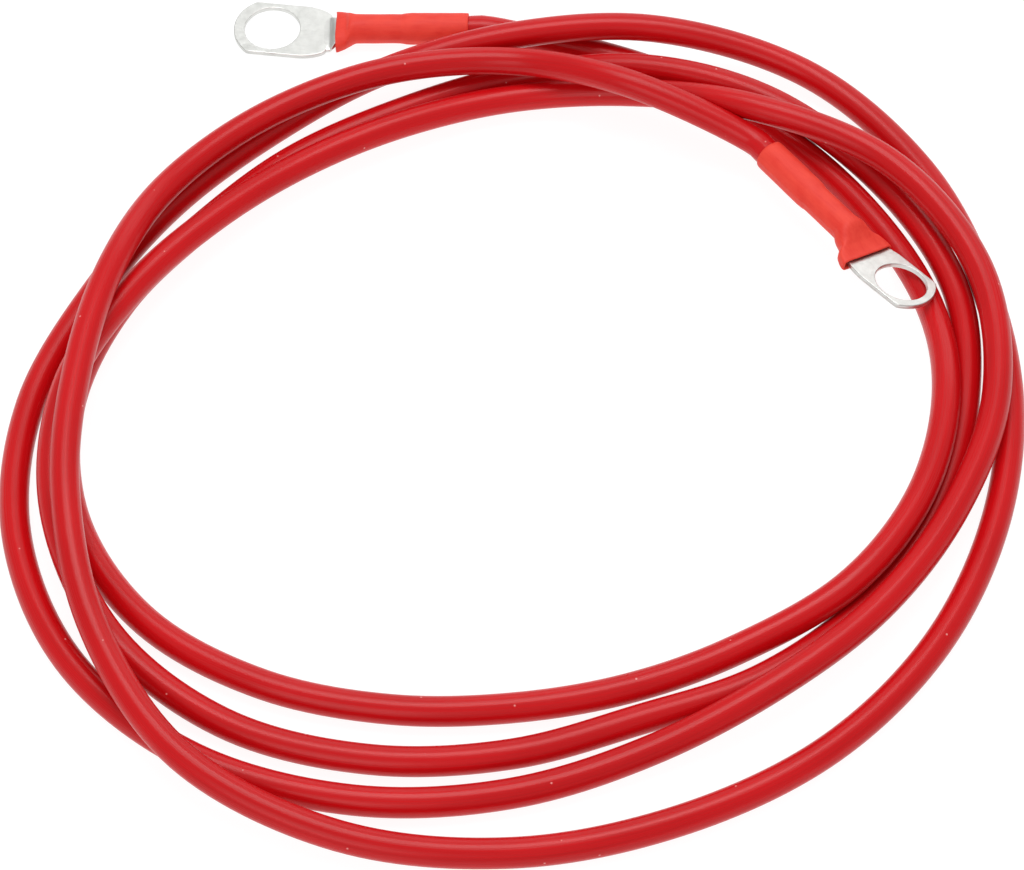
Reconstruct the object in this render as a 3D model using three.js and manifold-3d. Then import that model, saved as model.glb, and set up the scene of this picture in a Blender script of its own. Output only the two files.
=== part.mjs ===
// Battery cable: one insulated conductor lying in four loose turns on a level floor, with a tinned
// ring lug and a heat-shrink sleeve on each end. Millimetres, +Z up, the floor at Z = 0.
import * as THREE from 'three';
import ManifoldModule from 'manifold-3d';

const wasm = await ManifoldModule();
wasm.setup();
const { Manifold, Mesh } = wasm;

// Driving dimensions
const CABLE_OD = 6.5;          // outside of the insulation, for a 10 mm2 conductor
const CONDUCTOR_OD = 3.8;      // bare strands inside the lug
const CLEARANCE = 0.3;         // between pieces that touch
const SLEEVE_WALL = 0.45;
const PALM_T = 1.2;            // flattened tube, two walls
const TAPER = 5.9;             // from the palm's straight sides to the crease
const WAIST = 1.6;             // how far before the crease the taper's curve turns
const STEP_LENGTH = 5.5;       // from the crease to the round barrel
const STEP_SHARE = 0.45;       // how much of the step's height is reached a third of the way along it
const BARREL_LENGTH = 12.6;
const BARREL_OD = 5.5;
const BORE_FLOOR = 1.6;        // from the start of the barrel to the closed end of its bore
const SQUEEZE = 0.4;           // the sleeve squeezes the insulation by this much in diameter
const JACKET_GAP = 1.0;        // bare strands between the barrel and the insulation
const TUBE_LEAD = 0.8;         // from the sleeve to where the insulation has its full thickness
const STRAIGHT_A = 2.6;        // the cable runs straight for this much before it
const STRAIGHT_B = 4;
const TUBE_SIDES = 12;
const ROUND_SIDES = 32;

// Lug A's ring, for an M12 stud, and lug B's smaller one
const HOLE_A = 13.4;
const WIDTH_A = 16.1;
const NOSE_A = 9.3;            // from the hole to the tip
const CORNER_A = 5.0;          // from the hole to where the nose meets the straight sides
const SHOULDER_A = 8.0;        // from the hole to the end of the straight sides
const NECK_A = 11.4;           // width of the palm at the crease
const SWING_A = 7;             // the palm is bent sideways at the crease by this angle
const GRIP_A = 15.4;           // length of sleeve over the insulation
const HOLE_B = 12.2;
const WIDTH_B = 13.8;
const NOSE_B = 7.9;
const CORNER_B = 4.7;
const SHOULDER_B = 6.5;
const NECK_B = 10.6;
const SWING_B = -6.9;
const GRIP_B = 16.2;
const COVER_B = 2.2;           // how far sleeve B reaches over the palm, past the crease

// Places along a lug, from its hole towards the cable
function ring(hole, width, nose, corner, shoulder, neck, swing, grip) {
  const crease = shoulder + TAPER;
  const barrelStart = crease + STEP_LENGTH;
  const barrelEnd = barrelStart + BARREL_LENGTH;
  return {
    hole, width, nose, corner, shoulder, neck, swing, crease, barrelStart, barrelEnd,
    jacketStart: barrelEnd + JACKET_GAP,
    sleeveEnd: barrelEnd + grip,
    tubeEnd: barrelEnd + grip + TUBE_LEAD,
  };
}

const RING_A = ring(HOLE_A, WIDTH_A, NOSE_A, CORNER_A, SHOULDER_A, NECK_A, SWING_A, GRIP_A);
const RING_B = ring(HOLE_B, WIDTH_B, NOSE_B, CORNER_B, SHOULDER_B, NECK_B, SWING_B, GRIP_B);

// Fits
const PALM_LOW = -BARREL_OD / 2;                  // the palm is flush with the barrel's underside
const NECK_R = (CABLE_OD - SQUEEZE) / 2;
const SLEEVE_CABLE_R = NECK_R + CLEARANCE;        // inside radius over the insulation
const SLEEVE_BARREL_R = BARREL_OD / 2 + CLEARANCE;
const BORE_R = CONDUCTOR_OD / 2 + CLEARANCE;
const SLICE = (2 * Math.PI) / TUBE_SIDES;
const CORNER_R = (CABLE_OD / 2) * Math.sqrt(SLICE / Math.sin(SLICE));   // same area as the round cable

// The loose coil: [radius, lift] at every 18 degrees, clockwise from +Y as seen from above.
// Lift is how far the centre line is above that of a strand on the floor.
const COIL_X = -1.7;
const COIL_Y = -2.84;
const STATION = THREE.MathUtils.degToRad(18);
const COIL = [
  // first turn, inside all others at the near side
  [111, 0], [105, 0], [101.4, 0], [99.3, 0], [98.9, 0],
  [96.1, 4.9], [92.8, 5.7], [88.1, 5.2], [80.4, 0.7], [78, 0],
  [78.9, 0], [83.3, 0], [90.1, 0], [96.9, 0], [99.8, 0],
  [98.1, 0], [93.1, 0], [88, 0], [88, 0], [90, 0],
  // second turn, over the first at the far side and then under its neighbours
  [96.6, 0], [100.1, 5.5], [103.5, 6.6], [106.9, 1.2], [106.2, 0],
  [100.7, 0], [96.3, 0], [92.3, 0], [88.9, 0], [86, 0],
  [90.1, 0], [96.1, 0], [102.2, 0], [105.4, 1.8], [103.9, 5.8],
  [98.4, 6.9], [90, 6.4], [84, 5.7], [82.3, 4.2], [83.6, 3.3],
  // third turn, over the second and over the fourth on the right
  [88.8, 1.7], [92.6, 4.7], [96.3, 11], [107.3, 9.2], [110.8, 7.2],
  [107.2, 6], [101, 6], [96.8, 5.9], [94.4, 5.6], [94.4, 1.2],
  [99.5, 0], [106.3, 0], [112.5, 0], [115.3, 0], [112.9, 0],
  [107.1, 0], [100.2, 0], [97.6, 0], [97.9, 0], [101, 2.7],
  // fourth turn, outermost, then over the whole left side
  [104.5, 6.5], [112.1, 6.5], [119.4, 1.7], [117.5, 0], [112.9, 0],
  [110.7, 0], [109.6, 0], [110, 0], [110.8, 0], [111.4, 0],
  [113.5, 0], [116.3, 2.2], [116.3, 6.3], [108.8, 9], [100.8, 12.6],
  [95.3, 13.7], [94.4, 13.1], [97.3, 8.1], [97.6, 7.1], [96.2, 8.4],
  // last stretch, over everything on the far side
  [94.8, 8.2], [87.8, 13.2],
];

// Each lug: where its hole is from the coil's centre, on the barrel's axis, and how its nose points (degrees).
// Lug A's sleeve lies on the floor; lug B's nose lies over the first turn.
const LUG_A = { x: -57.9, y: 112.2, z: SLEEVE_CABLE_R + SLEEVE_WALL, yaw: 180, pitch: 0, roll: 0 };
const LUG_B = { x: 87.05, y: 29.0, z: CORNER_R + 8.7, yaw: -54.1, pitch: 2, roll: -15.3 };

const METAL = new THREE.MeshStandardMaterial({ color: 0xd5d3cc, roughness: 0.32, metalness: 0.9 });
const SLEEVE_RED = new THREE.MeshStandardMaterial({ color: 0xe0432f, roughness: 0.6, metalness: 0 });
const CABLE_RED = new THREE.MeshStandardMaterial({ color: 0xc8141c, roughness: 0.35, metalness: 0 });

// Frame of a lug: local X runs from the hole along the barrel to the cable, local Z is the palm's upper side
function lugFrame(lug) {
  const yaw = THREE.MathUtils.degToRad(lug.yaw);
  const pitch = THREE.MathUtils.degToRad(lug.pitch);
  const roll = THREE.MathUtils.degToRad(lug.roll);
  const toNose = new THREE.Vector3(
    Math.cos(yaw) * Math.cos(pitch),
    Math.sin(yaw) * Math.cos(pitch),
    Math.sin(pitch),
  );
  const along = toNose.clone().negate();
  const side = new THREE.Vector3(0, 0, 1).cross(along).normalize();
  const up = along.clone().cross(side).normalize();
  const rolledUp = up.clone().multiplyScalar(Math.cos(roll)).addScaledVector(side, Math.sin(roll));
  const rolledSide = rolledUp.clone().cross(along);
  const frame = new THREE.Matrix4().makeBasis(along, rolledSide, rolledUp);
  frame.setPosition(COIL_X + lug.x, COIL_Y + lug.y, lug.z);
  return frame;
}

function onAxis(frame, distance) {
  return new THREE.Vector3(distance, 0, 0).applyMatrix4(frame);
}

const FRAME_A = lugFrame(LUG_A);
const FRAME_B = lugFrame(LUG_B);

// Solids
function solidOf(positions, triangles) {
  const mesh = new Mesh({
    numProp: 3,
    vertProperties: Float32Array.from(positions),
    triVerts: Uint32Array.from(triangles),
  });
  mesh.merge();
  return new Manifold(mesh);
}

function geometrySolid(geometry) {
  const flat = geometry.index ? geometry.toNonIndexed() : geometry;
  const positions = flat.attributes.position.array;
  const triangles = Array.from({ length: positions.length / 3 }, (_, k) => k);
  return solidOf(positions, triangles);
}

// A closed solid through sections across local X, each an ellipse or, with a higher power, nearly a
// rectangle: { at, w, h, z, power }
function loft(sections) {
  const positions = [];
  const triangles = [];
  for (const section of sections) {
    const bent = (v) => Math.sign(v) * Math.abs(v) ** (2 / (section.power ?? 2));
    for (let k = 0; k < ROUND_SIDES; k += 1) {
      const angle = (2 * Math.PI * k) / ROUND_SIDES;
      positions.push(
        section.at,
        (section.w / 2) * bent(Math.cos(angle)),
        (section.z ?? 0) + (section.h / 2) * bent(Math.sin(angle)),
      );
    }
  }
  const last = sections.length - 1;
  for (let row = 0; row < last; row += 1) {
    for (let k = 0; k < ROUND_SIDES; k += 1) {
      const next = (k + 1) % ROUND_SIDES;
      const a = row * ROUND_SIDES + k;
      const b = row * ROUND_SIDES + next;
      triangles.push(a, b, b + ROUND_SIDES);
      triangles.push(a, b + ROUND_SIDES, a + ROUND_SIDES);
    }
  }
  for (let k = 1; k < ROUND_SIDES - 1; k += 1) {
    const end = last * ROUND_SIDES;
    triangles.push(0, k + 1, k);
    triangles.push(end, end + k, end + k + 1);
  }
  return solidOf(positions, triangles);
}

function round(at, radius) {
  return { at, w: 2 * radius, h: 2 * radius };
}

function placed(solid, frame) {
  return solid.transform(frame.elements);
}

function meshOf(name, solid, material) {
  const data = solid.getMesh();
  const geometry = new THREE.BufferGeometry();
  geometry.setAttribute('position', new THREE.BufferAttribute(Float32Array.from(data.vertProperties), 3));
  geometry.setIndex(Array.from(data.triVerts));
  const flat = geometry.toNonIndexed();
  flat.computeVertexNormals();
  const mesh = new THREE.Mesh(flat, material);
  mesh.name = name;
  return mesh;
}

// The palm: a flat-nosed plate with the eye, bent sideways at the crease
function palm(r) {
  const half = r.width / 2;
  const neck = r.neck / 2;
  const noseCentre = (r.corner ** 2 + half ** 2 - r.nose ** 2) / (2 * (r.nose - r.corner));
  const noseR = r.nose + noseCentre;
  const corner = Math.atan2(half, noseCentre + r.corner);
  const turn = r.crease - WAIST;
  const bulge = half - WAIST / 3;
  const outline = new THREE.Shape();
  outline.moveTo(r.crease, -neck);
  outline.lineTo(r.crease, neck);
  outline.quadraticCurveTo(turn, bulge, r.shoulder, half);
  outline.lineTo(-r.corner, half);
  outline.absarc(noseCentre, 0, noseR, Math.PI - corner, Math.PI + corner, false);
  outline.lineTo(r.shoulder, -half);
  outline.quadraticCurveTo(turn, -bulge, r.crease, -neck);
  const hole = new THREE.Path();
  hole.absarc(0, 0, r.hole / 2, 0, 2 * Math.PI, true);
  outline.holes.push(hole);
  const plate = new THREE.ExtrudeGeometry(outline, { depth: PALM_T, bevelEnabled: false, curveSegments: 20 });
  plate.translate(-r.crease, 0, PALM_LOW);
  plate.rotateZ(THREE.MathUtils.degToRad(-r.swing));
  plate.translate(r.crease, 0, 0);
  return geometrySolid(plate);
}

// The lug's section a third of the way up the step
function midStep(r) {
  const h = PALM_T + STEP_SHARE * (BARREL_OD - PALM_T);
  return { at: r.crease + STEP_LENGTH / 3, w: (r.neck + BARREL_OD) / 2, h, z: PALM_LOW + h / 2 };
}

function lug(r) {
  const step = loft([
    { at: r.crease - PALM_T / 2, w: r.neck - CLEARANCE, h: PALM_T, z: PALM_LOW + PALM_T / 2 },
    midStep(r),
    round(r.barrelStart, BARREL_OD / 2),
    round(r.barrelEnd, BARREL_OD / 2),
  ]);
  const bore = loft([round(r.barrelStart + BORE_FLOOR, BORE_R), round(r.barrelEnd + 1, BORE_R)]);
  return palm(r).add(step).subtract(bore);
}

// Heat-shrink sleeve: over the insulation, drawn in on the barrel, flared over the step or the palm's shoulder
function sleeve(r, cover = 0) {
  const under = midStep(r);
  const flare = { at: under.at - 0.1, w: under.w + 3 * CLEARANCE, h: under.h + 3 * CLEARANCE, z: under.z };
  const waist = {
    at: flare.at + STEP_LENGTH / 3,
    w: flare.w / 2 + SLEEVE_BARREL_R + 2 * CLEARANCE,
    h: flare.h / 2 + SLEEVE_BARREL_R + CLEARANCE,
    z: flare.z / 2,
  };
  const outerOf = (inner) => inner + 2 * SLEEVE_WALL;
  const profile = [
    flare,
    waist,
    round(r.barrelStart, SLEEVE_BARREL_R),
    round(r.barrelEnd - JACKET_GAP / 2, SLEEVE_BARREL_R),
    round(r.jacketStart - CLEARANCE / 3, SLEEVE_CABLE_R),
    round(r.sleeveEnd, SLEEVE_CABLE_R),
  ];
  if (cover > 0) {
    const spare = 3 * CLEARANCE;
    const palmZ = PALM_LOW + PALM_T / 2;
    profile.unshift(
      { at: r.crease - cover, w: r.neck + cover + spare, h: PALM_T + spare, z: palmZ, power: 6 },
      {
        at: r.crease + spare,
        w: r.neck + spare + CLEARANCE,
        h: (PALM_T + under.h) / 2 + spare,
        z: (palmZ + under.z) / 2,
        power: 5,
      },
    );
  }
  const outer = profile.map((s) => ({ ...s, w: outerOf(s.w), h: outerOf(s.h) }));
  const inner = profile.map((s) => ({ ...s }));
  inner[0].at -= 0.5;
  inner[inner.length - 1].at += 0.5;
  return loft(outer).subtract(loft(inner));
}

// The cable: one curve cut at the coil's stations, so that turns beside each other are cut side by side
class StationCurve extends THREE.CatmullRomCurve3 {
  getPointAt(u, target) {
    return this.getPoint(u, target);
  }

  getTangentAt(u, target) {
    return this.getTangent(u, target);
  }
}

function route() {
  const points = [onAxis(FRAME_A, RING_A.tubeEnd), onAxis(FRAME_A, RING_A.tubeEnd + STRAIGHT_A)];
  COIL.forEach(([radius, lift], k) => {
    const angle = k * STATION;
    points.push(new THREE.Vector3(
      COIL_X + radius * Math.sin(angle),
      COIL_Y + radius * Math.cos(angle),
      CORNER_R + lift,
    ));
  });
  points.push(onAxis(FRAME_B, RING_B.tubeEnd + STRAIGHT_B), onAxis(FRAME_B, RING_B.tubeEnd));
  return new StationCurve(points);
}

function cable() {
  const path = route();
  const section = new THREE.Shape();
  for (let k = 0; k < TUBE_SIDES; k += 1) {
    const x = CORNER_R * Math.cos(k * SLICE);
    const y = CORNER_R * Math.sin(k * SLICE);
    if (k === 0) section.moveTo(x, y);
    else section.lineTo(x, y);
  }
  section.closePath();
  const tube = new THREE.ExtrudeGeometry(section, { steps: path.points.length - 1, extrudePath: path });
  const neck = (r) => loft([
    round(r.barrelStart + BORE_FLOOR + 3 * CLEARANCE, CONDUCTOR_OD / 2),
    round(r.jacketStart, CONDUCTOR_OD / 2),
    round(r.jacketStart + 0.05, NECK_R),
    round(r.tubeEnd - CLEARANCE, NECK_R),
    round(r.tubeEnd + TUBE_LEAD, NECK_R - CLEARANCE),
  ]);
  return geometrySolid(tube).add(placed(neck(RING_A), FRAME_A)).add(placed(neck(RING_B), FRAME_B));
}

const part = new THREE.Group();
part.name = 'battery_cable';
part.add(meshOf('cable', cable(), CABLE_RED));
part.add(meshOf('lug_a', placed(lug(RING_A), FRAME_A), METAL));
part.add(meshOf('lug_b', placed(lug(RING_B), FRAME_B), METAL));
part.add(meshOf('sleeve_a', placed(sleeve(RING_A), FRAME_A), SLEEVE_RED));
part.add(meshOf('sleeve_b', placed(sleeve(RING_B, COVER_B), FRAME_B), SLEEVE_RED));

export default part;
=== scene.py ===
"""Battery cable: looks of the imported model, in metres, in the frame of the CAD."""
import math
from types import SimpleNamespace

import bpy
from mathutils import Matrix, Vector, noise


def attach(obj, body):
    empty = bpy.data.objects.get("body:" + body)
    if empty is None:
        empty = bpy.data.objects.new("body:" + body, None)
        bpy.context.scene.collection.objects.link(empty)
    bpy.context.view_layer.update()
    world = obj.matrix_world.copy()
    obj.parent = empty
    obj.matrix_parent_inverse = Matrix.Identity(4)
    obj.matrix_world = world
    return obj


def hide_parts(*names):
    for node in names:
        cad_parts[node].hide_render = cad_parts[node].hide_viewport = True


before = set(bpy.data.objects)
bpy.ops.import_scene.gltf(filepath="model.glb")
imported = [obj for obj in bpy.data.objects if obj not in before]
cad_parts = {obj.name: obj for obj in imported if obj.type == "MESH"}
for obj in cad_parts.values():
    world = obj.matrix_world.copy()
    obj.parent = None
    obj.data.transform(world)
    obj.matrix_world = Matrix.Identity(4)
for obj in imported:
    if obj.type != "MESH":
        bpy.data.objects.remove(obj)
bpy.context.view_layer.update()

MM = 0.001

# Sizes, as in the part's source
CABLE_OD = 6.5 * MM
CONDUCTOR_OD = 3.8 * MM
CLEARANCE = 0.3 * MM
SLEEVE_WALL = 0.45 * MM
PALM_T = 1.2 * MM
TAPER = 5.9 * MM
WAIST = 1.6 * MM
STEP_LENGTH = 5.5 * MM
STEP_SHARE = 0.45
BARREL_LENGTH = 12.6 * MM
BARREL_OD = 5.5 * MM
BORE_FLOOR = 1.6 * MM
SQUEEZE = 0.4 * MM
JACKET_GAP = 1.0 * MM
TUBE_LEAD = 0.8 * MM
STRAIGHT_A = 2.6 * MM
STRAIGHT_B = 4.0 * MM
TUBE_SIDES = 12


def ring(hole, width, nose, corner, shoulder, neck, swing, grip, cover):
    """A lug's own sizes (mm, degrees) and its places from the hole towards the cable, in metres."""
    crease = shoulder * MM + TAPER
    barrel_start = crease + STEP_LENGTH
    barrel_end = barrel_start + BARREL_LENGTH
    sleeve_end = barrel_end + grip * MM
    return SimpleNamespace(
        hole=hole * MM, width=width * MM, nose=nose * MM, corner=corner * MM, shoulder=shoulder * MM,
        neck=neck * MM, swing=math.radians(swing), cover=cover * MM, crease=crease,
        barrel_start=barrel_start, barrel_end=barrel_end, jacket_start=barrel_end + JACKET_GAP,
        sleeve_end=sleeve_end, tube_end=sleeve_end + TUBE_LEAD,
    )


RING_A = ring(13.4, 16.1, 9.3, 5.0, 8.0, 11.4, 7, 15.4, 0)
RING_B = ring(12.2, 13.8, 7.9, 4.7, 6.5, 10.6, -6.9, 16.2, 2.2)

PALM_LOW = -BARREL_OD / 2
MID_H = PALM_T + STEP_SHARE * (BARREL_OD - PALM_T)
NECK_R = (CABLE_OD - SQUEEZE) / 2
SLEEVE_CABLE_R = NECK_R + CLEARANCE
SLEEVE_BARREL_R = BARREL_OD / 2 + CLEARANCE
SLICE = 2 * math.pi / TUBE_SIDES
REST = CABLE_OD / 2 * math.sqrt(SLICE / math.sin(SLICE))   # centre height of a strand on the floor

# The loose coil: (radius, lift) in mm at every 18 degrees, clockwise from +Y
COIL_X, COIL_Y = -1.7 * MM, -2.84 * MM
STATION = math.radians(18)
COIL = [
    # first turn, inside all others at the near side
    (111, 0), (105, 0), (101.4, 0), (99.3, 0), (98.9, 0),
    (96.1, 4.9), (92.8, 5.7), (88.1, 5.2), (80.4, 0.7), (78, 0),
    (78.9, 0), (83.3, 0), (90.1, 0), (96.9, 0), (99.8, 0),
    (98.1, 0), (93.1, 0), (88, 0), (88, 0), (90, 0),
    # second turn, over the first at the far side and then under its neighbours
    (96.6, 0), (100.1, 5.5), (103.5, 6.6), (106.9, 1.2), (106.2, 0),
    (100.7, 0), (96.3, 0), (92.3, 0), (88.9, 0), (86, 0),
    (90.1, 0), (96.1, 0), (102.2, 0), (105.4, 1.8), (103.9, 5.8),
    (98.4, 6.9), (90, 6.4), (84, 5.7), (82.3, 4.2), (83.6, 3.3),
    # third turn, over the second and over the fourth on the right
    (88.8, 1.7), (92.6, 4.7), (96.3, 11), (107.3, 9.2), (110.8, 7.2),
    (107.2, 6), (101, 6), (96.8, 5.9), (94.4, 5.6), (94.4, 1.2),
    (99.5, 0), (106.3, 0), (112.5, 0), (115.3, 0), (112.9, 0),
    (107.1, 0), (100.2, 0), (97.6, 0), (97.9, 0), (101, 2.7),
    # fourth turn, outermost, then over the whole left side
    (104.5, 6.5), (112.1, 6.5), (119.4, 1.7), (117.5, 0), (112.9, 0),
    (110.7, 0), (109.6, 0), (110, 0), (110.8, 0), (111.4, 0),
    (113.5, 0), (116.3, 2.2), (116.3, 6.3), (108.8, 9), (100.8, 12.6),
    (95.3, 13.7), (94.4, 13.1), (97.3, 8.1), (97.6, 7.1), (96.2, 8.4),
    # last stretch, over everything on the far side
    (94.8, 8.2), (87.8, 13.2),
]

# The lugs: hole place from the coil's centre (mm), height, and how the nose points (degrees)
LUG_A = dict(x=-57.9, y=112.2, z=SLEEVE_CABLE_R + SLEEVE_WALL, yaw=180, pitch=0, roll=0)
LUG_B = dict(x=87.05, y=29.0, z=REST + 8.7 * MM, yaw=-54.1, pitch=2, roll=-15.3)

# The photograph's view, and the frame and focal length it is matched in
VIEW_ELEVATION = math.radians(54)
VIEW_DISTANCE = 0.796
VIEW_TARGET = Vector((-0.0017, -0.01084, 0.003))
FOCAL_PX = 3600.0
FRAME_W = 1024.0
SENSOR = 36.0


def lug_frame(lug):
    """Local X runs from the hole along the barrel to the cable, local Z is the palm's upper side."""
    yaw, pitch, roll = (math.radians(lug[k]) for k in ("yaw", "pitch", "roll"))
    to_nose = Vector((math.cos(yaw) * math.cos(pitch), math.sin(yaw) * math.cos(pitch), math.sin(pitch)))
    along = -to_nose
    side = Vector((0, 0, 1)).cross(along).normalized()
    up = along.cross(side).normalized()
    rolled_up = up * math.cos(roll) + side * math.sin(roll)
    rolled_side = rolled_up.cross(along)
    m = Matrix.Identity(4)
    for row in range(3):
        m[row][0], m[row][1], m[row][2] = along[row], rolled_side[row], rolled_up[row]
    m.translation = Vector((COIL_X + lug["x"] * MM, COIL_Y + lug["y"] * MM, lug["z"]))
    return m


FRAME_A = lug_frame(LUG_A)
FRAME_B = lug_frame(LUG_B)


def on_axis(m, distance):
    return m @ Vector((distance, 0, 0))


# ---- camera -------------------------------------------------------------------------------------
def make_camera():
    data = bpy.data.cameras.new("view")
    data.sensor_width = SENSOR
    data.lens = SENSOR * FOCAL_PX / FRAME_W
    data.clip_start = 0.01
    data.clip_end = 20
    cam = bpy.data.objects.new("view", data)
    back = Vector((0, -math.cos(VIEW_ELEVATION), math.sin(VIEW_ELEVATION)))
    cam.location = VIEW_TARGET + back * VIEW_DISTANCE
    cam.rotation_euler = (-back).to_track_quat("-Z", "Y").to_euler()
    bpy.context.scene.collection.objects.link(cam)
    bpy.context.scene.camera = cam


# ---- the cable ----------------------------------------------------------------------------------
CABLE_STEP = 2.5 * MM      # between its rings of points
CABLE_SIDES = 40
SPAN_STEPS = 40            # points looked at between two stations
UNEVEN = 0.035 * MM        # of the skin


def control_points():
    """The coil's stations, with a straight lead into each sleeve."""
    pts = [on_axis(FRAME_A, RING_A.tube_end), on_axis(FRAME_A, RING_A.tube_end + STRAIGHT_A)]
    for k, (radius, lift) in enumerate(COIL):
        a = k * STATION
        pts.append(Vector((
            COIL_X + radius * MM * math.sin(a),
            COIL_Y + radius * MM * math.cos(a),
            REST + lift * MM,
        )))
    pts += [on_axis(FRAME_B, RING_B.tube_end + STRAIGHT_B), on_axis(FRAME_B, RING_B.tube_end)]
    return pts


def span_point(p0, p1, p2, p3, t):
    """Centripetal Catmull-Rom between p1 and p2."""
    d0 = max((p1 - p0).length, 1e-6) ** 0.5
    d1 = max((p2 - p1).length, 1e-6) ** 0.5
    d2 = max((p3 - p2).length, 1e-6) ** 0.5
    t1 = ((p1 - p0) / d0 - (p2 - p0) / (d0 + d1) + (p2 - p1) / d1) * d1
    t2 = ((p2 - p1) / d1 - (p3 - p1) / (d1 + d2) + (p3 - p2) / d2) * d1
    return p1 + t1 * t + (-3 * p1 + 3 * p2 - 2 * t1 - t2) * t * t + (2 * p1 - 2 * p2 + t1 + t2) * t ** 3


def route(step):
    """Points about step apart along the smooth route, with straight stretches into both sleeves."""
    pts = control_points()
    first, last = 2 * pts[0] - pts[1], 2 * pts[-1] - pts[-2]
    ext = [first] + pts + [last]
    fine = []
    for k in range(len(pts) - 1):
        for j in range(SPAN_STEPS):
            fine.append(span_point(*ext[k:k + 4], j / SPAN_STEPS))
    fine.append(pts[-1])
    fine = [on_axis(FRAME_A, RING_A.jacket_start)] + fine + [on_axis(FRAME_B, RING_B.jacket_start)]
    out = [fine[0]]
    carried = 0.0
    for a, b in zip(fine, fine[1:]):
        length = (b - a).length
        while carried + length >= step:
            t = (step - carried) / length
            a = a.lerp(b, t)
            out.append(a.copy())
            length = (b - a).length
            carried = 0.0
        carried += length
    if (out[-1] - fine[-1]).length < step / 2:
        out.pop()
    out.append(fine[-1])
    return out


def transported(points):
    """The directions (side, up) across the line at each point, without twist about it."""
    n = len(points)
    tangents = [(points[min(n - 1, i + 1)] - points[max(0, i - 1)]).normalized() for i in range(n)]
    up = Vector((0, 0, 1))
    frames = []
    for t in tangents:
        up = (up - t * up.dot(t)).normalized()
        frames.append((up.cross(t).normalized(), up.copy()))
    return frames


def add_mesh(name, verts, faces, smooth=True):
    mesh = bpy.data.meshes.new(name)
    mesh.from_pydata([tuple(v) for v in verts], [], faces)
    mesh.validate()
    mesh.update()
    if smooth:
        mesh.polygons.foreach_set("use_smooth", [True] * len(mesh.polygons))
    obj = bpy.data.objects.new(name, mesh)
    bpy.context.scene.collection.objects.link(obj)
    return obj


def grid_faces(rows, sides, start=0):
    """Faces between closed rings of points."""
    faces = []
    for i in range(rows - 1):
        for k in range(sides):
            a = start + i * sides + k
            b = start + i * sides + (k + 1) % sides
            faces.append((a, b, b + sides, a + sides))
    return faces


def store_vectors(mesh, name, values):
    """Places on the piece, which its material reads."""
    layer = mesh.attributes.new(name, "FLOAT_VECTOR", "POINT")
    layer.data.foreach_set("vector", [c for v in values for c in v])


def smoothstep(a, b, x):
    t = min(1.0, max(0.0, (x - a) / (b - a)))
    return t * t * (3 - 2 * t)


def squarish(angle, power):
    """A point of the unit superellipse: round at power 2, nearly a square at 6."""
    ca, sa = math.cos(angle), math.sin(angle)
    return math.copysign(abs(ca) ** (2 / power), ca), math.copysign(abs(sa) ** (2 / power), sa)


def make_cable():
    """The insulation, drawn in under the sleeves, with its centre line."""
    points = route(CABLE_STEP)
    verts, coords = [], []
    total = sum((b - a).length for a, b in zip(points, points[1:]))
    run = 0.0
    for i, (p, (side, up)) in enumerate(zip(points, transported(points))):
        if i:
            run += (p - points[i - 1]).length
        from_end, r = (run, RING_A) if run < total - run else (total - run, RING_B)
        neck = r.tube_end - r.jacket_start
        radius = NECK_R + (CABLE_OD / 2 - NECK_R) * smoothstep(neck - 1.2 * MM, neck + 1.0 * MM, from_end)
        for k in range(CABLE_SIDES):
            a = 2 * math.pi * k / CABLE_SIDES
            ca, sa = math.cos(a), math.sin(a)
            wobble = noise.noise(Vector((ca * 1.1, sa * 1.1, run * 22.0))) * UNEVEN
            verts.append(p + (side * ca + up * sa) * (radius + wobble))
            coords.append((ca, sa, run * 100.0))
    faces = grid_faces(len(points), CABLE_SIDES)
    faces.append(tuple(reversed(range(CABLE_SIDES))))
    end = (len(points) - 1) * CABLE_SIDES
    faces.append(tuple(range(end, end + CABLE_SIDES)))
    obj = add_mesh("cable_jacket", verts, faces)
    store_vectors(obj.data, "skin", coords)
    return obj, points


# ---- ring lugs ----------------------------------------------------------------------------------
PALM_EDGE = 0.22 * MM      # rounding of the palm's outer edges
EYE_EDGE = 0.16 * MM       # and of the eye's
SEAM_DEPTH = 0.1 * MM      # groove round the palm where the tube's two walls meet
SEAM_HALF = 0.16 * MM
EDGE_STEPS = 4
BARREL_SIDES = 48
BARREL_STEPS = 7


def palm_outline(r):
    """Outer outline of the palm, counter-clockwise, dense enough for its round parts."""
    half = r.width / 2
    neck = r.neck / 2
    nose_x = (r.corner ** 2 + half ** 2 - r.nose ** 2) / (2 * (r.nose - r.corner))
    nose_r = r.nose + nose_x
    corner = math.atan2(half, nose_x + r.corner)
    upper = [(r.crease, neck * k / 13) for k in range(14)]
    turn, bulge = r.crease - WAIST, half - WAIST / 3
    for k in range(1, 15):
        t = k / 14
        upper.append((
            (1 - t) ** 2 * r.crease + 2 * t * (1 - t) * turn + t * t * r.shoulder,
            (1 - t) ** 2 * neck + 2 * t * (1 - t) * bulge + t * t * half,
        ))
    for k in range(1, 16):
        upper.append((r.shoulder - (r.corner + r.shoulder) * k / 16, half))
    for k in range(33):
        a = math.pi - corner + corner * k / 32
        upper.append((nose_x + nose_r * math.cos(a), nose_r * math.sin(a)))
    lower = [(x, -y) for x, y in reversed(upper[1:-1])]
    return upper + lower


def rounded_corner(points, passes=2):
    """Softens the outline's corners a little, as shearing and tinning do."""
    for _ in range(passes):
        n = len(points)
        points = [
            (
                0.5 * points[i][0] + 0.25 * (points[i - 1][0] + points[(i + 1) % n][0]),
                0.5 * points[i][1] + 0.25 * (points[i - 1][1] + points[(i + 1) % n][1]),
            )
            for i in range(n)
        ]
    return points


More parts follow.
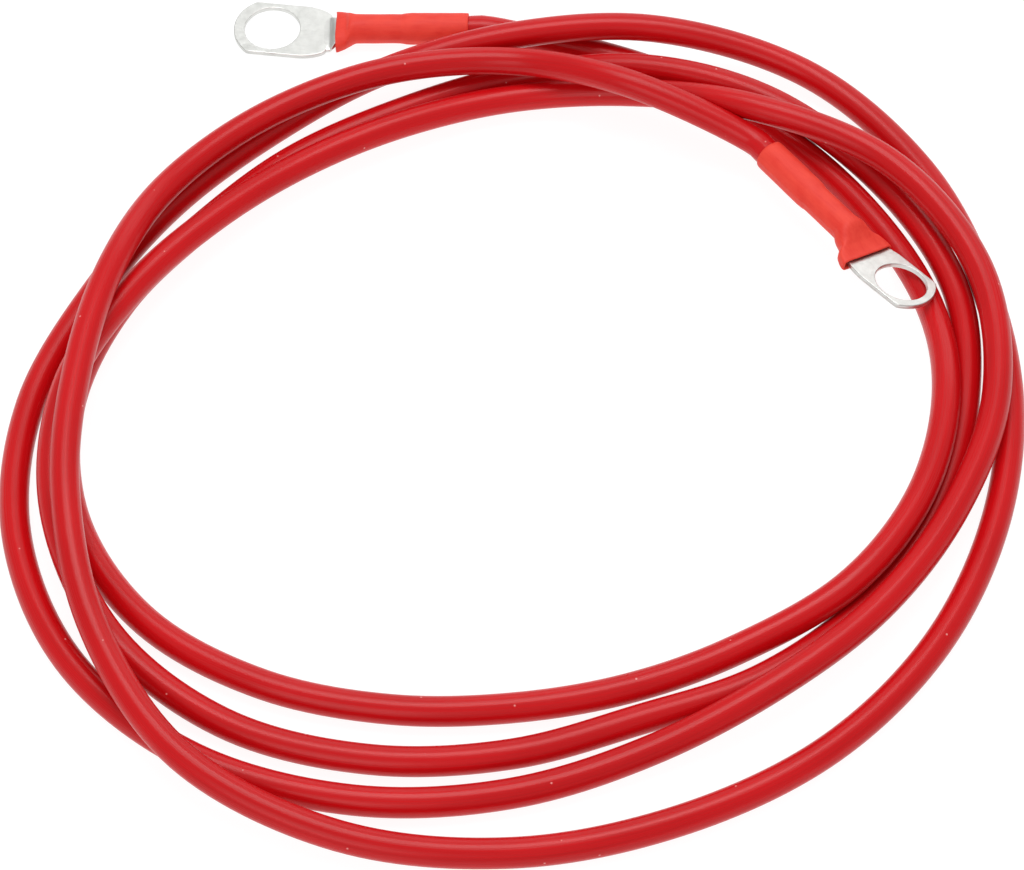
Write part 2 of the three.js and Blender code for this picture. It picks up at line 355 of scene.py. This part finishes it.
def inset(points, distance):
    """The outline moved inwards."""
    n = len(points)
    out = []
    for i, (x, y) in enumerate(points):
        ax, ay = points[i - 1]
        bx, by = points[(i + 1) % n]
        dx, dy = bx - ax, by - ay
        length = math.hypot(dx, dy) or 1
        out.append((x - dy / length * distance, y + dx / length * distance))
    return out


def palm_profile(edge, groove):
    """(inset, height) over the edge from the top face to the bottom face, which is at height 0."""
    turns = [math.pi / 2 * k / EDGE_STEPS for k in range(EDGE_STEPS + 1)]
    top = [(edge * (1 - math.sin(a)), PALM_T - edge * (1 - math.cos(a))) for a in turns]
    bottom = [(edge * (1 - math.cos(a)), edge * (1 - math.sin(a))) for a in turns]
    seam = [(0.0, PALM_T / 2 + SEAM_HALF), (groove, PALM_T / 2), (0.0, PALM_T / 2 - SEAM_HALF)]
    return top + (seam if groove else []) + bottom


def swung(r, x, y):
    """The palm is bent sideways at the crease."""
    c, sn = math.cos(-r.swing), math.sin(-r.swing)
    return r.crease + (x - r.crease) * c - y * sn, (x - r.crease) * sn + y * c


def add_palm(r, verts, faces):
    """The plate with its eye. Returns the numbers of its flat faces."""
    outline = rounded_corner(palm_outline(r))
    n = len(outline)
    angles = [math.atan2(y, x) for x, y in outline]
    outer = palm_profile(PALM_EDGE, SEAM_DEPTH)
    for gap, height in outer:
        for x, y in inset(outline, gap):
            verts.append((*swung(r, x, y), PALM_LOW + height))
    inner = palm_profile(EYE_EDGE, 0)
    base = len(verts)
    for gap, height in inner:
        eye = r.hole / 2 + gap
        for a in angles:
            verts.append((*swung(r, eye * math.cos(a), eye * math.sin(a)), PALM_LOW + height))
    rows, cols = len(outer), len(inner)
    for i in range(rows - 1):
        for k in range(n):
            a, b = i * n + k, i * n + (k + 1) % n
            faces.append((a, a + n, b + n, b))
    for i in range(cols - 1):
        for k in range(n):
            a, b = base + i * n + k, base + i * n + (k + 1) % n
            faces.append((a, b, b + n, a + n))
    flat = []
    a, b = (rows - 1) * n, base + (cols - 1) * n
    for k in range(n):
        j = (k + 1) % n
        flat += [len(faces), len(faces) + 1]
        faces.append((k, j, base + j, base + k))
        faces.append((a + j, a + k, b + k, b + j))
    return flat


def barrel_sections(r):
    """(place, width, height, centre height, squareness) of the step and the barrel."""
    palm_z = PALM_LOW + PALM_T / 2
    tuck = r.neck - 0.5 * MM
    return [
        (r.crease - 1.6 * MM, tuck, PALM_T - 0.06 * MM, palm_z, 6.0),
        (r.crease + 0.1 * MM, tuck, PALM_T + 0.12 * MM, palm_z + 0.05 * MM, 4.5),
        (r.crease + STEP_LENGTH / 3, (r.neck + BARREL_OD) / 2, MID_H, PALM_LOW + MID_H / 2, 2.8),
        (r.barrel_start, BARREL_OD, BARREL_OD, 0.0, 2.0),
        (r.barrel_end, BARREL_OD, BARREL_OD, 0.0, 2.0),
    ]


def add_barrel(r, verts, faces):
    """The step up from the palm and the barrel, with its bore."""
    keys = barrel_sections(r)
    turns = [2 * math.pi * k / BARREL_SIDES for k in range(BARREL_SIDES)]
    base = len(verts)
    rows = 0
    for (a0, w0, h0, z0, e0), (a1, w1, h1, z1, e1) in zip(keys, keys[1:]):
        for j in range(BARREL_STEPS + (1 if a1 == r.barrel_end else 0)):
            t = j / BARREL_STEPS
            s = smoothstep(0, 1, t) if r.crease < a0 < r.barrel_start else t
            w, h, z, e = (u + (v - u) * s for u, v in ((w0, w1), (h0, h1), (z0, z1), (e0, e1)))
            for a in turns:
                across, over = squarish(a, e)
                verts.append((a0 + (a1 - a0) * t, across * w / 2, z + over * h / 2))
            rows += 1
    faces += grid_faces(rows, BARREL_SIDES, base)
    faces.append(tuple(reversed(range(base, base + BARREL_SIDES))))
    bore_r = CONDUCTOR_OD / 2 + CLEARANCE
    bore = [r.barrel_end, r.barrel_end - 4 * MM, r.barrel_start + BORE_FLOOR]
    for x in bore:
        verts += [(x, bore_r * math.cos(a), bore_r * math.sin(a)) for a in turns]
    faces += grid_faces(1 + len(bore), BARREL_SIDES, base + (rows - 1) * BARREL_SIDES)
    faces.append(tuple(range(len(verts) - BARREL_SIDES, len(verts))))


def make_lug(name, m, r):
    verts, faces = [], []
    flat = add_palm(r, verts, faces)
    add_barrel(r, verts, faces)
    local = [Vector(v) for v in verts]
    obj = add_mesh(name, [m @ v for v in local], faces)
    for f in flat:
        obj.data.polygons[f].use_smooth = False
    store_vectors(obj.data, "local", [v * 1000 for v in local])
    return obj


# ---- heat-shrink sleeves ------------------------------------------------------------------------
SLEEVE_SIDES = 72
SLEEVE_RINGS = 90
LIP_INSET = 0.06 * MM      # the cut ends are slightly rounded
LIP_LENGTH = 0.6 * MM      # and their edge waves over this length
INNER_REACH = (0.4, 1.5, 3.0)   # mm of the inside that is made at each end


def sleeve_sections(r):
    """(place, width, height, centre height, squareness) of the outside, in order along the lug."""
    wall = 2 * SLEEVE_WALL
    spare = 3 * CLEARANCE + wall
    at = r.crease + STEP_LENGTH / 3 - 0.1 * MM
    w0, h0, z0 = (r.neck + BARREL_OD) / 2 + spare, MID_H + spare, PALM_LOW + MID_H / 2
    barrel = 2 * SLEEVE_BARREL_R + wall
    grip = 2 * SLEEVE_CABLE_R + wall
    if r.cover:
        palm_z = PALM_LOW + PALM_T / 2
        mouth = [
            (r.crease - r.cover, r.neck + r.cover + spare, PALM_T + spare, palm_z, 6.0),
            (
                r.crease + 0.9 * MM, r.neck + 1.2 * MM + wall,
                (PALM_T + MID_H) / 2 + spare, (palm_z + z0) / 2, 5.0,
            ),
            (at + 0.6 * MM, w0, h0, z0 * 0.9, 3.2),
        ]
    else:
        mouth = [
            (at, w0 + 1.3 * MM, h0 + 0.2 * MM, z0, 2.8),
            (at + 1.2 * MM, w0 + 0.8 * MM, h0 + 0.4 * MM, z0 * 0.8, 2.6),
            (at + 2.3 * MM, w0 + 0.1 * MM, h0 + 0.5 * MM, z0 * 0.6, 2.4),
        ]
    return mouth + [
        (at + 3.4 * MM, barrel + 1.2 * MM, barrel + 0.4 * MM, z0 * 0.25, 2.2),
        (r.barrel_start + 1.2 * MM, barrel + 0.1 * MM, barrel + 0.05 * MM, 0.0, 2.0),
        (r.barrel_start + 6.0 * MM, barrel, barrel, 0.0, 2.0),
        (r.barrel_end - 1.0 * MM, barrel + 0.02 * MM, barrel, 0.0, 2.0),
        (r.barrel_end + 0.8 * MM, grip - 0.12 * MM, grip - 0.12 * MM, 0.0, 2.0),
        (r.barrel_end + 2.5 * MM, grip + 0.04 * MM, grip + 0.04 * MM, 0.0, 2.0),
        (r.barrel_end + 9.0 * MM, grip, grip, 0.0, 2.0),
        (r.sleeve_end - 0.8 * MM, grip, grip, 0.0, 2.0),
        (r.sleeve_end, grip - 0.06 * MM, grip - 0.06 * MM, 0.0, 2.0),
    ]


def between(keys, x):
    """Smooth value of the sections at x, by the cubic through neighbours."""
    k = 0
    while k < len(keys) - 2 and keys[k + 1][0] < x:
        k += 1
    x0, x1 = keys[k][0], keys[k + 1][0]
    t = (x - x0) / (x1 - x0)
    out = []
    for c in range(1, len(keys[0])):
        def slope(i):
            if i <= 0 or i >= len(keys) - 1:
                return 0.0
            a = (keys[i][c] - keys[i - 1][c]) / (keys[i][0] - keys[i - 1][0])
            b = (keys[i + 1][c] - keys[i][c]) / (keys[i + 1][0] - keys[i][0])
            return 0.0 if a * b <= 0 else 2 * a * b / (a + b)
        m0, m1 = slope(k) * (x1 - x0), slope(k + 1) * (x1 - x0)
        a, b = keys[k][c], keys[k + 1][c]
        out.append(
            (2 * t ** 3 - 3 * t ** 2 + 1) * a + (t ** 3 - 2 * t ** 2 + t) * m0
            + (-2 * t ** 3 + 3 * t ** 2) * b + (t ** 3 - t ** 2) * m1
        )
    return out


def sleeve_path(start, end):
    """(place, depth below the outside) of each ring of points, round from inside to inside."""
    outside = [start + (end - start) * k / (SLEEVE_RINGS - 1) for k in range(1, SLEEVE_RINGS - 1)]
    return (
        [(start + d * MM, SLEEVE_WALL) for d in reversed(INNER_REACH)]
        + [(start + 0.02 * MM, SLEEVE_WALL * 0.8), (start - 0.05 * MM, SLEEVE_WALL * 0.5)]
        + [(start - 0.02 * MM, LIP_INSET)]
        + [(x, 0.0) for x in outside]
        + [(end + 0.02 * MM, LIP_INSET)]
        + [(end + 0.05 * MM, SLEEVE_WALL * 0.5), (end + 0.02 * MM, SLEEVE_WALL * 0.8)]
        + [(end - d * MM, SLEEVE_WALL) for d in INNER_REACH]
    )


def make_sleeve(name, m, r, seed):
    """A shrunk tube with faint unevenness and a flattened fold along each side."""
    keys = sleeve_sections(r)
    start, end = keys[0][0], keys[-1][0]
    path = sleeve_path(start, end)
    local = []
    for x, depth in path:
        w, h, z, e = between(keys, min(end, max(start, x)))
        at_lip = x <= start + LIP_LENGTH or x >= end - LIP_LENGTH
        for k in range(SLEEVE_SIDES):
            a = 2 * math.pi * k / SLEEVE_SIDES
            ca, sa = math.cos(a), math.sin(a)
            y, zz = squarish(a, e)
            grow = 0.0
            if depth < SLEEVE_WALL:
                turn = math.atan2(sa, ca)
                fold = 0.16 * MM * math.exp(-(turn / 0.10) ** 2)
                fold += 0.09 * MM * math.exp(-((abs(turn) - math.pi) / 0.12) ** 2)
                fold *= smoothstep(start + 1 * MM, start + 4 * MM, x)
                grow = noise.noise(Vector((ca * 1.4 + seed, sa * 1.4, x * 260))) * 0.06 * MM + fold
            push = 0.0
            if at_lip:
                push = 0.18 * MM * noise.noise(Vector((ca * 1.2, sa * 1.2, seed * 3.7)))
            local.append(Vector((x + push, y * (w / 2 - depth + grow), z + zz * (h / 2 - depth + grow))))
    obj = add_mesh(name, [m @ v for v in local], grid_faces(len(path), SLEEVE_SIDES))
    store_vectors(obj.data, "local", [v * 1000 for v in local])
    return obj


# ---- materials ----------------------------------------------------------------------------------
class Nodes:
    """A short way to build a node tree."""

    def __init__(self, name):
        self.mat = bpy.data.materials.new(name)
        self.mat.use_nodes = True
        self.tree = self.mat.node_tree
        self.shader = self.tree.nodes["Principled BSDF"]

    def link(self, out, to):
        self.tree.links.new(out, to)

    def attribute(self, name):
        node = self.tree.nodes.new("ShaderNodeAttribute")
        node.attribute_name = name
        return node.outputs["Vector"]

    def scaled(self, vector, scale):
        node = self.tree.nodes.new("ShaderNodeVectorMath")
        node.operation = "MULTIPLY"
        self.link(vector, node.inputs[0])
        node.inputs[1].default_value = scale
        return node.outputs[0]

    def noise(self, vector, scale, detail=3.0, rough=0.5):
        node = self.tree.nodes.new("ShaderNodeTexNoise")
        self.link(vector, node.inputs["Vector"])
        node.inputs["Scale"].default_value = scale
        node.inputs["Detail"].default_value = detail
        node.inputs["Roughness"].default_value = rough
        return node.outputs["Fac"]

    def ramp(self, fac, stops):
        node = self.tree.nodes.new("ShaderNodeValToRGB")
        while len(node.color_ramp.elements) > len(stops):
            node.color_ramp.elements.remove(node.color_ramp.elements[-1])
        while len(node.color_ramp.elements) < len(stops):
            node.color_ramp.elements.new(0.5)
        for element, (at, colour) in zip(node.color_ramp.elements, stops):
            element.position = at
            element.color = (*colour, 1)
        self.link(fac, node.inputs["Fac"])
        return node.outputs["Color"]

    def span(self, fac, low, high, out_low, out_high):
        node = self.tree.nodes.new("ShaderNodeMapRange")
        self.link(fac, node.inputs["Value"])
        for key, value in (("From Min", low), ("From Max", high), ("To Min", out_low), ("To Max", out_high)):
            node.inputs[key].default_value = value
        return node.outputs["Result"]

    def mix(self, fac, a, b):
        """Two colours, each a constant or a socket, by a constant or a socket."""
        node = self.tree.nodes.new("ShaderNodeMix")
        node.data_type = "RGBA"
        if isinstance(fac, float):
            node.inputs["Factor"].default_value = fac
        else:
            self.link(fac, node.inputs["Factor"])
        for value, socket in ((a, node.inputs[6]), (b, node.inputs[7])):
            if isinstance(value, tuple):
                socket.default_value = (*value, 1)
            else:
                self.link(value, socket)
        return node.outputs[2]

    def bump(self, height, strength, distance, normal=None):
        node = self.tree.nodes.new("ShaderNodeBump")
        node.inputs["Strength"].default_value = strength
        node.inputs["Distance"].default_value = distance
        self.link(height, node.inputs["Height"])
        if normal is not None:
            self.link(normal, node.inputs["Normal"])
        return node.outputs["Normal"]


def cable_material():
    """Glossy red PVC with lengthwise extrusion streaks, faint mottling and a few specks of dust."""
    n = Nodes("red_pvc")
    skin = n.attribute("skin")
    streak = n.noise(n.scaled(skin, (2.6, 2.6, 0.035)), 3.0, 4.0, 0.6)
    broad = n.noise(n.scaled(skin, (0.6, 0.6, 0.35)), 1.0, 2.0)
    base = n.ramp(
        streak,
        [(0.30, (0.47, 0.002, 0.004)), (0.55, (0.57, 0.003, 0.006)), (0.78, (0.65, 0.006, 0.010))],
    )
    tint = n.ramp(broad, [(0.35, (0.50, 0.002, 0.004)), (0.65, (0.62, 0.005, 0.008))])
    red = n.mix(0.5, base, tint)
    speck = n.tree.nodes.new("ShaderNodeTexVoronoi")
    n.link(n.scaled(skin, (3.25, 3.25, 10.0)), speck.inputs["Vector"])
    speck.inputs["Scale"].default_value = 0.16
    dots = n.span(speck.outputs["Distance"], 0.02, 0.045, 1.0, 0.0)
    colour = n.mix(dots, red, (0.80, 0.30, 0.28))
    n.link(colour, n.shader.inputs["Base Color"])
    n.link(n.span(streak, 0.3, 0.75, 0.34, 0.22), n.shader.inputs["Roughness"])
    fine = n.noise(n.scaled(skin, (9.0, 9.0, 0.12)), 3.0, 3.0, 0.6)
    soft = n.bump(streak, 0.35, 0.00008)
    n.link(n.bump(fine, 0.25, 0.00003, soft), n.shader.inputs["Normal"])
    n.shader.inputs["Specular IOR Level"].default_value = 0.26
    n.shader.inputs["IOR"].default_value = 1.5
    return n.mat


def sleeve_material():
    """Matte orange-red shrunk tubing."""
    n = Nodes("red_heat_shrink")
    local = n.attribute("local")
    cloudy = n.noise(n.scaled(local, (0.25, 0.35, 0.35)), 1.0, 3.0)
    flow = n.noise(n.scaled(local, (0.12, 1.6, 1.6)), 1.0, 4.0, 0.6)
    base = n.ramp(cloudy, [(0.3, (0.74, 0.030, 0.018)), (0.7, (0.82, 0.055, 0.034))])
    colour = n.mix(n.span(flow, 0.35, 0.7, 0.0, 0.35), base, (0.88, 0.08, 0.045))
    n.link(colour, n.shader.inputs["Base Color"])
    n.link(n.span(cloudy, 0.3, 0.7, 0.5, 0.62), n.shader.inputs["Roughness"])
    n.shader.inputs["Specular IOR Level"].default_value = 0.35
    grain = n.noise(n.scaled(local, (6.0, 6.0, 6.0)), 1.0, 3.0, 0.6)
    soft = n.bump(flow, 0.4, 0.00012)
    n.link(n.bump(grain, 0.2, 0.00003, soft), n.shader.inputs["Normal"])
    return n.mat


def metal_material():
    """Tin plating, satin, with fine drawn lines and soft press marks."""
    n = Nodes("tin_plate")
    local = n.attribute("local")
    cloudy = n.noise(n.scaled(local, (0.3, 0.3, 0.3)), 1.0, 4.0, 0.6)
    drawn = n.noise(n.scaled(local, (0.5, 9.0, 9.0)), 1.0, 4.0, 0.65)
    base = n.ramp(cloudy, [(0.3, (0.62, 0.625, 0.60)), (0.7, (0.76, 0.765, 0.74))])
    n.link(base, n.shader.inputs["Base Color"])
    n.shader.inputs["Metallic"].default_value = 1.0
    n.link(n.span(drawn, 0.3, 0.7, 0.30, 0.46), n.shader.inputs["Roughness"])
    soft = n.bump(cloudy, 0.5, 0.00025)
    n.link(n.bump(drawn, 0.25, 0.00003, soft), n.shader.inputs["Normal"])
    return n.mat


# ---- floor and light ----------------------------------------------------------------------------
def make_floor():
    size = 6.0
    verts = [(-size, -size, 0), (size, -size, 0), (size, size, 0), (-size, size, 0)]
    obj = add_mesh("floor", verts, [(0, 1, 2, 3)], smooth=False)
    n = Nodes("white_floor")
    n.shader.inputs["Base Color"].default_value = (0.16, 0.16, 0.16, 1)
    n.shader.inputs["Roughness"].default_value = 0.9
    n.shader.inputs["Emission Color"].default_value = (1, 1, 1, 1)
    n.shader.inputs["Emission Strength"].default_value = 0.92
    obj.data.materials.append(n.mat)


def area_light(name, place, size, power):
    """A rectangle of light that faces the part."""
    data = bpy.data.lights.new(name, "AREA")
    data.shape = "RECTANGLE"
    data.size, data.size_y = size
    data.energy = power
    obj = bpy.data.objects.new(name, data)
    obj.location = place
    obj.rotation_euler = (-Vector(place)).to_track_quat("-Z", "Y").to_euler()
    bpy.context.scene.collection.objects.link(obj)


def make_light():
    world = bpy.data.worlds.new("studio")
    world.use_nodes = True
    world.node_tree.nodes["Background"].inputs["Color"].default_value = (1, 1, 1, 1)
    world.node_tree.nodes["Background"].inputs["Strength"].default_value = 0.55
    bpy.context.scene.world = world
    area_light("overhead", (0, 0.35, 1.3), (0.9, 0.7), 9.0)
    area_light("back", (0.5, 1.7, 0.95), (1.7, 1.0), 5.5)
    area_light("front", (-0.5, -1.2, 0.9), (0.8, 0.8), 4.0)
    bpy.context.scene.view_settings.view_transform = "Standard"


make_camera()
jacket, centre_line = make_cable()
jacket.data.materials.append(cable_material())
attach(jacket, "root")
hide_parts("cable")

metal = metal_material()
shrink = sleeve_material()
fittings = []
for end, matrix, sizes, seed in (("a", FRAME_A, RING_A, 1.0), ("b", FRAME_B, RING_B, 5.3)):
    lug = make_lug("ring_lug_" + end, matrix, sizes)
    lug.data.materials.append(metal)
    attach(lug, "root")
    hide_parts("lug_" + end)
    tube = make_sleeve("shrink_sleeve_" + end, matrix, sizes, seed)
    tube.data.materials.append(shrink)
    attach(tube, "root")
    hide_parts("sleeve_" + end)
    fittings += [lug, tube]

make_floor()
make_light()
